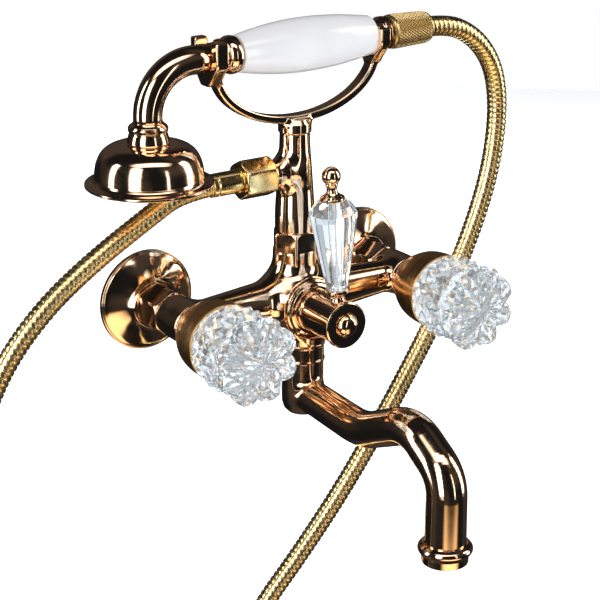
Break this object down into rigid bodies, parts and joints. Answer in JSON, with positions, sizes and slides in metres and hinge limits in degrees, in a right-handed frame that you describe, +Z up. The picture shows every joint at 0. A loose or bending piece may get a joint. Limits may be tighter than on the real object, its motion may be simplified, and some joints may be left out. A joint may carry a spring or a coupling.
{
  "type": "wall mounted bath faucet",
  "caption": "Wall mounted bath mixer with cut-crystal knobs, a crystal lever diverter, an S-shaped swivel spout, and a porcelain-grip hand shower on a cradle with a metal hose.",
  "frame": {"origin": "on the wall plane, midway between the two inlets, at the height of their axes", "axes": "+Z up, +X to the right as seen by a person facing the wall, +Y into the wall, so the spout points along -Y"},
  "size_m": [0.3827, 0.2227, 0.6492],
  "materials": {
    "rose_gold": "mirror-polished rose gold plating on brass",
    "brushed_gold": "satin rose gold plating, turned",
    "yellow_gold": "polished and satin yellow gold plating",
    "hose_gold": "polished gold plated spiral strip",
    "raw_brass": "machined",
    "steel": "plain stainless steel",
    "crystal": "clear cut crystal",
    "porcelain": "white glazed porcelain",
    "valve_ceramic": "lapped alumina ceramic",
    "black_rubber": "moulded rubber"
  },
  "bodies": {
    "mixer": {"inlet_unions": "raw_brass", "wall_flange_left": "rose_gold", "wall_flange_right": "rose_gold", "union_nut_left": "rose_gold", "union_nut_right": "rose_gold", "union_washers": "black_rubber", "mixer_body": "rose_gold", "valve_cartridges": "raw_brass", "ceramic_seats": "valve_ceramic", "valve_bonnet_left": "rose_gold", "valve_bonnet_right": "rose_gold", "diverter_cartridge": "raw_brass", "diverter_bonnet": "rose_gold", "spout_collar": "rose_gold", "spout_stem": "raw_brass", "spout_seals": "black_rubber", "column_nut": "rose_gold", "column_washers": "black_rubber", "riser_column": "rose_gold", "hose_inlet_nut": "yellow_gold", "hose_inlet_ferrule": "yellow_gold", "cradle": "rose_gold", "cradle_screw": "steel", "shower_hose": "hose_gold"},
    "hot_handle": {"ceramic_disc_left": "valve_ceramic", "valve_spindle_left": "raw_brass", "handle_cup_left": "brushed_gold", "handle_screw_left": "steel", "knob_insert_left": "steel", "crystal_knob_left": "crystal"},
    "cold_handle": {"ceramic_disc_right": "valve_ceramic", "valve_spindle_right": "raw_brass", "handle_cup_right": "brushed_gold", "handle_screw_right": "steel", "knob_insert_right": "steel", "crystal_knob_right": "crystal"},
    "diverter_lever": {"diverter_spindle": "raw_brass", "diverter_hub": "rose_gold", "diverter_screw": "steel", "hub_cap": "rose_gold", "lever_stem": "rose_gold", "lever_crystal": "crystal", "lever_rod": "steel", "lever_finial": "rose_gold"},
    "spout": {"spout": "rose_gold", "spout_retaining_screw": "steel", "spout_end_ring": "rose_gold", "aerator": "raw_brass"},
    "handset": {"neck_elbow": "rose_gold", "head_collar": "rose_gold", "spray_head": "rose_gold", "spray_gasket": "black_rubber", "spray_plate": "rose_gold", "ferrule_left": "rose_gold", "porcelain_grip": "porcelain", "grip_tube": "raw_brass", "ferrule_right": "rose_gold", "hose_washer": "black_rubber", "hose_tail": "raw_brass"},
    "hose_nut": {"hose_cone_nut": "yellow_gold"}
  },
  "joints": [
    {"name": "hot_turn", "type": "hinge", "parent": "mixer", "child": "hot_handle", "pos_m": [-0.075, -0.06, 0], "axis": [0, -1, 0], "range_deg": [0, 90]},
    {"name": "cold_turn", "type": "hinge", "parent": "mixer", "child": "cold_handle", "pos_m": [0.075, -0.06, 0], "axis": [0, -1, 0], "range_deg": [-90, 0]},
    {"name": "diverter_turn", "type": "hinge", "parent": "mixer", "child": "diverter_lever", "pos_m": [0, -0.08, -0.0024], "axis": [0, 1, 0], "range_deg": [-41, 49]},
    {"name": "spout_swivel", "type": "hinge", "parent": "mixer", "child": "spout", "pos_m": [0, -0.053, 0], "axis": [0, 0, 1], "range_deg": [-60, 60]},
    {"name": "handset_lift", "type": "slide", "parent": "mixer", "child": "handset", "axis": [0, 0, 1], "range_m": [0, 0.08], "deforming": ["shower_hose"]},
    {"name": "hose_nut_turn", "type": "hinge", "parent": "handset", "child": "hose_nut", "pos_m": [0.08, -0.045, 0.1485], "axis": [1, 0, 0], "continuous": true}
  ]
}
